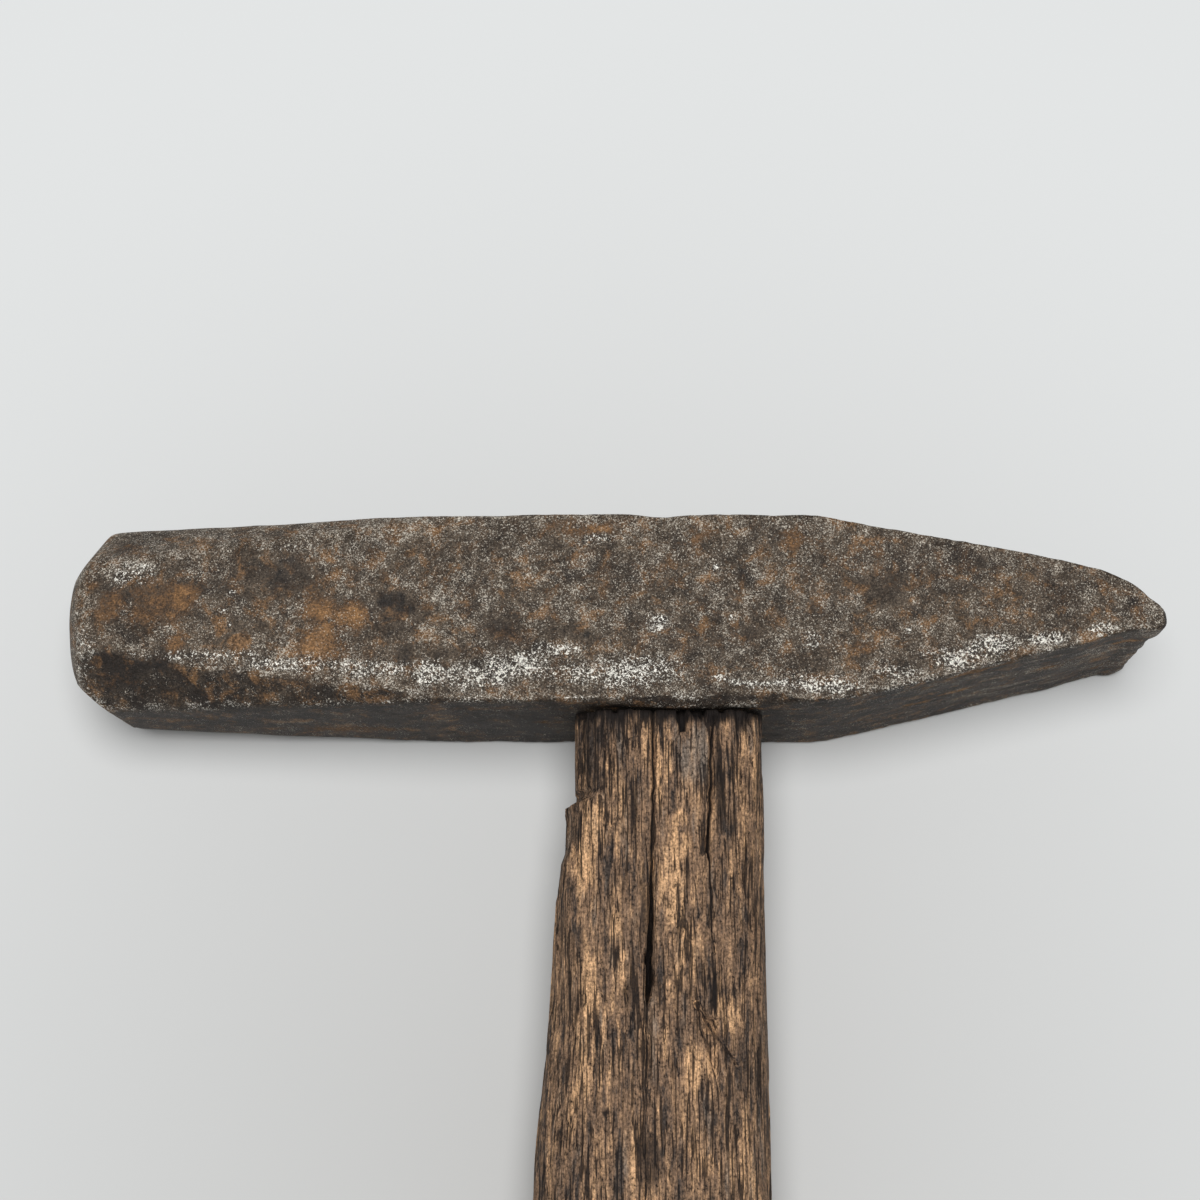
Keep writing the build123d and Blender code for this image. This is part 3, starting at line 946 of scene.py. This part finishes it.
def shape_tube(tube):
    """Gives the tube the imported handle's sections. Returns its points and their outward directions."""
    unit = points_of(tube.data) * MM
    places = ring_places()
    ring = np.rint((unit[:, 1] + 0.5) * (len(places) - 1)).astype(int)
    turn = (np.arctan2(unit[:, 2], unit[:, 0]) / math.tau) % 1
    reach = np.minimum(np.hypot(unit[:, 0], unit[:, 2]), 1)
    steps = np.abs(places[:, None] - np.array([-NECK_START - 0.02, -NECK_START + 0.2]))
    inner = np.where(np.arange(len(places)) < len(places) - TENON_RINGS, steps[:, 0] * 0, 1)
    sliced = np.where(places > -NECK_START - 0.05, places - 0.05 + inner * 0.3, places)
    sliced = np.clip(sliced, BUTT_END + 0.01, TENON_END - 0.01)
    low_x, low_z, high_x, high_z = packed_sections("handle", sliced)[ring].T
    half_width, half_thickness = (high_x - low_x) / 2, (high_z - low_z) / 2
    # The neck is squarer than the rest of the handle
    square = ramp(-NECK_START - places, 45.0, 5.0) * (SECTION_CORNER - NECK_CORNER)
    share = np.where(inner > 0, 0.995, SECTION_CORNER - square)[ring]
    x, z, out_x, out_z = rounded_section(turn, half_width, half_thickness, share * half_thickness)
    points = np.stack(((low_x + high_x) / 2 + x * reach, places[ring], (low_z + high_z) / 2 + z * reach), axis=1)
    outward = np.stack((out_x, np.zeros(len(turn)), out_z), axis=1)
    return points, outward, reach, inner[ring] > 0


def split_lines(points, stations):
    """The distance of each point from the middle of a split, and half the split's width beside it."""
    beyond = -NECK_START - points[:, 1]
    distances, middles, widths = np.array(stations).T
    middle = np.interp(beyond, distances, middles)
    middle += (lumps(points[:, 1:2], 1.3, seed=4) - 0.5) * 0.22
    width = np.interp(beyond, distances, widths, left=0, right=0)
    return points[:, 0] - middle, width / 2


def in_triangle(points, corners):
    """How far inside a triangle on the top each point lies, less than 0 outside."""
    inside = np.full(len(points), 9.0)
    corners = np.array(corners)
    turn = np.sign(np.cross(corners[1] - corners[0], corners[2] - corners[0]))
    for start, end in zip(corners, np.roll(corners, -1, axis=0)):
        along = (end - start) / np.linalg.norm(end - start)
        away = points[:, :2] - start
        inside = np.minimum(inside, (along[0] * away[:, 1] - along[1] * away[:, 0]) * turn)
    return inside


def near_line(points, start, end):
    """The distance on the top from a straight line between two places."""
    start, end = np.array(start), np.array(end)
    along = end - start
    share = np.clip((points[:, :2] - start) @ along / (along @ along), 0, 1)
    return np.linalg.norm(points[:, :2] - start - share[:, None] * along, axis=1), share


def weather_handle(tube):
    """Opens the splits, breaks the fibres at the head and raises the grain, then paints what shows there."""
    points, outward, reach, in_eye = shape_tube(tube)
    top = ramp(outward[:, 2], 0.15, 0.6) * (reach > 0.99) * ~in_eye
    side = (reach > 0.99) * ~in_eye
    # Rings and columns crowd together at the splits, so that their walls are steep
    for stations in (LONG_SPLIT, SHORT_SPLIT):
        away, half = split_lines(points, stations)
        pull = 0.55 * np.exp(-((away / 0.8) ** 2)) * np.minimum(half / 0.1, 1)
        points[:, 0] -= away * pull * (top > 0.5)
    x, y, z = points.T
    beyond = -NECK_START - y
    damage = ramp(beyond, 90.0, 20.0)

    ridges = rough(points, (1.5, 14.0, 1.5), seed=2)
    fine = rough(points, (0.55, 7.0, 0.55), seed=6)
    flakes = ramp(rough(points, (1.9, 11.0, 1.9), seed=11, layers=2), 0.44, 0.50)
    grooves = ramp(np.abs(lumps(points, (0.9, 14.0, 0.9), seed=14) - 0.5), 0.05, 0.0)
    depth = ((ridges - 0.5) * 0.44 + (fine - 0.5) * 0.24 + grooves * 0.20) * (0.35 + 0.65 * damage)
    depth += (0.6 - flakes) * 0.22 * damage
    dark = grooves * 0.30 + (1 - flakes) * 0.15 * damage
    rubbed = ramp(0.5 - ridges, -0.05, 0.25) * 0.4

    # The splits
    splits = []
    for stations, reach_down in ((LONG_SPLIT, DOWN_TO), (SHORT_SPLIT, DOWN_TO * 0.8)):
        away, half = split_lines(points, stations)
        gap = ramp(np.abs(away), half + 0.07, half - 0.04) * (half > 0.01)
        depth += gap * top * np.minimum(reach_down, 0.2 + half * 14)
        depth += 0.16 * ramp(np.abs(away), half + 0.7, half) * (half > 0.03) * top
        splits += [0.5 + np.clip(away, -2, 2) / 4, half * top]

    # Fibres broken short of the head, with their gaps painted dark as painted shade
    broken = 0.3 * lumps(points[:, :1], 0.6, seed=8) + 0.25 * lumps(points[:, :1], 1.7, seed=18)
    for middle, half, back in BROKEN_FIBRES:
        broken += back * ramp(np.abs(x - middle - beyond * 0.06), half + 0.16, half - 0.06)
    gone = ramp(beyond, broken, broken - 0.3) * top
    depth += gone * 2.4
    dark = np.maximum(dark, gone * 0.95)
    # Painted shade: the neck's top darkens towards the head, as under the head's lip
    lip_shade = ramp(beyond + 4.0 * (rough(points, (1.0, 4.0, 1.0), seed=27) - 0.5), 4.6, 0.5)
    dark = np.maximum(dark, lip_shade * 0.92)
    frayed = ramp(beyond, 5.0, 0.5) * top
    depth += frayed * lumps(points, (0.5, 3.0, 0.5), seed=16) * 0.3

    # The gouge across the grain, the torn patch and the knot
    away, share = near_line(points, *GOUGE)
    cut_width = 0.42 - 0.25 * share
    cut_depth = ramp(away, cut_width, cut_width * 0.3) * top
    depth += cut_depth * 0.8
    torn = ramp(in_triangle(points, TORN), -0.25, 0.35) * top
    depth += torn * (0.35 + 0.5 * lumps(points, (0.5, 0.6, 0.5), seed=13))
    dark = np.maximum(dark, np.maximum(cut_depth * 0.85, torn * 0.5 * rough(points, 0.6, seed=23)))
    knot_x, knot_y, knot_reach = KNOT
    from_knot = np.hypot(x - knot_x, (y - knot_y) / 1.1) / knot_reach
    ring = ramp(np.abs(from_knot - 1.0), 0.3, 0.05) * top
    depth += ring * 0.15
    dark = np.maximum(dark, np.maximum(ring * 0.55, ramp(from_knot, 0.55, 0.25) * top * 0.5))

    points -= outward * (depth * side)[:, None]
    # The neck's sides are worn, and the damage on the one towards the face ends in a step
    points[:, 0] -= 0.3 * ramp(outward[:, 0], 0.3, 0.9) * ramp(beyond, 45.0, 10.0) * side
    points[:, 0] += np.interp(-y, *np.array(WORN_SIDE).T) * ramp(-outward[:, 0], 0.3, 0.9) * side
    points[:, 2] = np.clip(points[:, 2], 0.0, TOP)
    move_points(tube.data, points)

    stains = patches(points * (1, 0.35, 1), [(a, b * 0.35, c, d * 0.35, e) for a, b, c, d, e in STAINS], 0.3)
    clean = patches(points * (1, 0.35, 1), [(a, b * 0.35, c, d * 0.35, e) for a, b, c, d, e in RUBBED], 0.3)
    grey = patches(points * (1, 0.35, 1), [(a, b * 0.35, c, d * 0.35, e) for a, b, c, d, e in BLEACHED], 0.3)
    dark = np.maximum(dark, stains * top)
    rubbed = np.maximum(rubbed, clean * top)
    # Painted shade: the tenon inside the head and its shoulder are painted fully dark
    shoulder = in_eye & (y < 0)
    dark[shoulder] = 1.0
    ends = ((reach < 0.99) | in_eye) & ~shoulder
    paint(tube.data, "wear_and_painted_light", dark, rubbed, grey * top, ends)
    paint(tube.data, "splits", *splits)


class HAMMER_OT_handle(bpy.types.Operator):
    """Builds the split and weathered handle with its tenon"""

    bl_idname = "hammer.handle"
    bl_label = "Handle"

    def execute(self, context):
        settings = context.scene.hammer_handle
        handle = handle_tube()
        weather_handle(handle)
        open_tenon(handle)
        finish_piece(handle, wood_material(settings, "weathered_wood"), "weathered_wood", "handle")
        return {"FINISHED"}


# Wedges


def tapered_block(name, size, toe_share, middle):
    """A block with its toe, towards -Y, tapered along the axis whose share isn't 1. Sizes in millimetres."""
    object_mode()
    bpy.ops.mesh.primitive_cube_add(size=1.0, location=(0, 0, 0))
    block = bpy.context.object
    block.name = name
    bpy.ops.object.mode_set(mode="EDIT")
    bpy.ops.mesh.select_all(action="SELECT")
    bpy.ops.transform.resize(value=[side * MM for side in size], center_override=(0, 0, 0))
    bpy.ops.transform.translate(value=[side * MM for side in middle])
    bpy.context.tool_settings.mesh_select_mode = (False, False, True)
    bpy.ops.mesh.select_all(action="DESELECT")
    for face in bmesh.from_edit_mesh(block.data).faces:
        face.select = face.normal.y < -0.5
    bpy.ops.transform.resize(
        value=toe_share,
        center_override=[side * MM for side in middle],
    )
    object_mode()
    return block


def wedge_cutter(node, spread):
    """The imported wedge's shape, larger all round by a gap, and long enough to open the end of the tenon."""
    low, high = (np.array(corner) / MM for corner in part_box(node))
    top, toe, across = spread
    depth = high[1] - low[1] + GAP
    beyond = 2.0
    growth = (top - toe) / depth
    wide_end = top + growth * beyond
    size = [wide_end + 2 * GAP, depth + beyond, (high - low)[across] + 2 * GAP]
    share = [(toe + 2 * GAP) / size[0], 1.0, 1.0]
    if across == 0:
        size.reverse()
        share.reverse()
    middle = (low + high) / 2
    middle[1] = low[1] - GAP + (depth + beyond) / 2
    return tapered_block("cutter", size, share, middle)


def open_tenon(handle):
    """Cuts the kerf of the wooden wedge and the splits that the iron wedges open."""
    cut(handle, wedge_cutter("wood_wedge", (WOOD_WEDGE_TOP, WOOD_WEDGE_TOE, 0)))
    for node in IRON_WEDGES:
        cut(handle, wedge_cutter(node, (IRON_WEDGE_TOP, IRON_WEDGE_TOE, 2)))


class HAMMER_OT_wood_wedge(bpy.types.Operator):
    """Builds the wooden wedge that spreads the tenon"""

    bl_idname = "hammer.wood_wedge"
    bl_label = "Wooden wedge"

    def execute(self, context):
        settings = context.scene.hammer_handle
        wedge = merged_copy("wood_wedge", "worn_wood_wedge")
        apply_modifier(wedge, "REMESH", mode="VOXEL", voxel_size=settings.wedge_grain)
        points = points_of(wedge.data)
        end = ramp(points[:, 1], TENON_END - 0.6, TENON_END - 0.2)
        points[:, 1] -= end * 0.4 * rough(points, (0.5, 4.0, 0.5), seed=71)
        move_points(wedge.data, points)
        none = np.zeros(len(points))
        paint(wedge.data, "wear_and_painted_light", 0.25 + 0.35 * rough(points, 0.8, seed=72), none, none, end)
        paint(wedge.data, "splits", none, none, none, none)
        finish_piece(wedge, wood_material(settings, "wedge_wood"), "wedge_wood", "wood_wedge")
        return {"FINISHED"}


class HAMMER_OT_iron_wedges(bpy.types.Operator):
    """Builds both iron wedges, each with a hammered and rusty end"""

    bl_idname = "hammer.iron_wedges"
    bl_label = "Iron wedges"

    def execute(self, context):
        material = iron_material(context.scene.hammer_head, "wedge_iron")
        for index, node in enumerate(IRON_WEDGES):
            low, high = (np.array(corner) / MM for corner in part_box(node))
            share = (IRON_WEDGE_TOE / IRON_WEDGE_TOP, 1.0, 1.0)
            wedge = tapered_block("hammered_" + node, high - low, share, (low + high) / 2)
            apply_modifier(wedge, "BEVEL", width=0.2 * MM, segments=3)
            apply_modifier(wedge, "REMESH", mode="VOXEL", voxel_size=0.12 * MM)
            points = points_of(wedge.data)
            normals = normals_of(wedge.data)
            end = ramp(normals[:, 1], 0.3, 0.8)
            dents = rough(points, (1.6, 3.0, 1.6), seed=80 + index) * (0.04 + 0.36 * end)
            points -= normals * dents[:, None]
            move_points(wedge.data, points)
            none = np.zeros(len(points))
            rust = 0.5 + 0.5 * rough(points, 1.2, seed=90 + index)
            paint(wedge.data, "wear_and_painted_light", rust, end * 0.3 * ramp(dents, 0.25, 0.1), none, end * 0.6)
            finish_piece(wedge, material, "wedge_iron", node)
        return {"FINISHED"}


# Stage


PAINTED_SHADE_MIDDLE = (-13.0, -65.0, 0.0)


def wide_floor(settings):
    object_mode()
    bpy.ops.mesh.primitive_circle_add(vertices=96, radius=6.0, fill_type="NGON", location=(0, 0, -0.02 * MM))
    floor = bpy.context.object
    floor.name = "floor"
    shader = Shader("pale_floor")
    # Painted shade: it darkens softly towards the handle, standing in for a broad soft shadow over the floor
    middle = tuple(share * MM for share in PAINTED_SHADE_MIDDLE)
    away = shader.node("VectorMath", {0: shader.node("TexCoord", output="Object"), 1: middle}, 1, operation="DISTANCE")
    share = shader.ramp(away / MM, -40.0, 170.0)
    shader.set(Base_Color=shader.mix(share, settings.painted_shade_floor, settings.floor), Roughness=0.8)
    shader.surface.inputs["Specular IOR Level"].default_value = 0.2
    floor.data.materials.append(shader.material)


def soft_light(settings):
    """One large soft lamp overhead and an even light from all round."""
    world = bpy.data.worlds.new("soft_sky")
    world.use_nodes = True
    background = world.node_tree.nodes["Background"]
    background.inputs["Color"].default_value = (0.98, 0.99, 1.0, 1.0)
    background.inputs["Strength"].default_value = settings.sky
    bpy.context.scene.world = world
    object_mode()
    bpy.ops.object.light_add(type="AREA", location=settings.lamp_place)
    lamp = bpy.context.object
    lamp.name = "soft_lamp"
    lamp.data.shape = "DISK"
    lamp.data.size = settings.lamp_size
    lamp.data.energy = settings.lamp
    lamp.rotation_euler = (-Vector(lamp.location)).to_track_quat("-Z", "Y").to_euler()


def photo_camera(settings):
    object_mode()
    bpy.ops.object.camera_add(location=settings.camera_place, rotation=(settings.camera_tilt, 0, 0))
    camera = bpy.context.object
    camera.data.lens = settings.lens
    camera.data.sensor_width = 36.0
    camera.data.clip_start = 0.01
    bpy.context.scene.camera = camera


class HAMMER_OT_stage(bpy.types.Operator):
    """Adds the pale floor, the soft light and the camera over the head"""

    bl_idname = "hammer.stage"
    bl_label = "Stage"

    def execute(self, context):
        settings = context.scene.hammer_stage
        wide_floor(settings)
        soft_light(settings)
        photo_camera(settings)
        context.scene.view_settings.view_transform = "Standard"
        return {"FINISHED"}


class HAMMER_PT_panel(bpy.types.Panel):
    """Lists the hammer's pieces in build order"""

    bl_label = "Cross-peen hammer"
    bl_idname = "HAMMER_PT_panel"
    bl_space_type = "VIEW_3D"
    bl_region_type = "UI"
    bl_category = "Hammer"

    def draw(self, context):
        for operator in OPERATORS:
            self.layout.operator(operator.bl_idname)
        for group in ("hammer_head", "hammer_handle", "hammer_stage"):
            box = self.layout.box()
            settings = getattr(context.scene, group)
            for name in settings.__annotations__:
                box.prop(settings, name)


OPERATORS = (HAMMER_OT_head, HAMMER_OT_handle, HAMMER_OT_wood_wedge, HAMMER_OT_iron_wedges, HAMMER_OT_stage)
GROUPS = {
    "hammer_head": HeadSettings,
    "hammer_handle": HandleSettings,
    "hammer_stage": StageSettings,
}


def register():
    for group in (*GROUPS.values(), *OPERATORS, HAMMER_PT_panel):
        bpy.utils.register_class(group)
    for name, group in GROUPS.items():
        setattr(bpy.types.Scene, name, bpy.props.PointerProperty(type=group))


def unregister():
    for name in GROUPS:
        delattr(bpy.types.Scene, name)
    for group in (HAMMER_PT_panel, *reversed(OPERATORS), *GROUPS.values()):
        bpy.utils.unregister_class(group)


def main():
    register()
    bpy.ops.hammer.head()
    bpy.ops.hammer.handle()
    bpy.ops.hammer.wood_wedge()
    bpy.ops.hammer.iron_wedges()
    bpy.ops.hammer.stage()


if __name__ == "__main__":
    main()
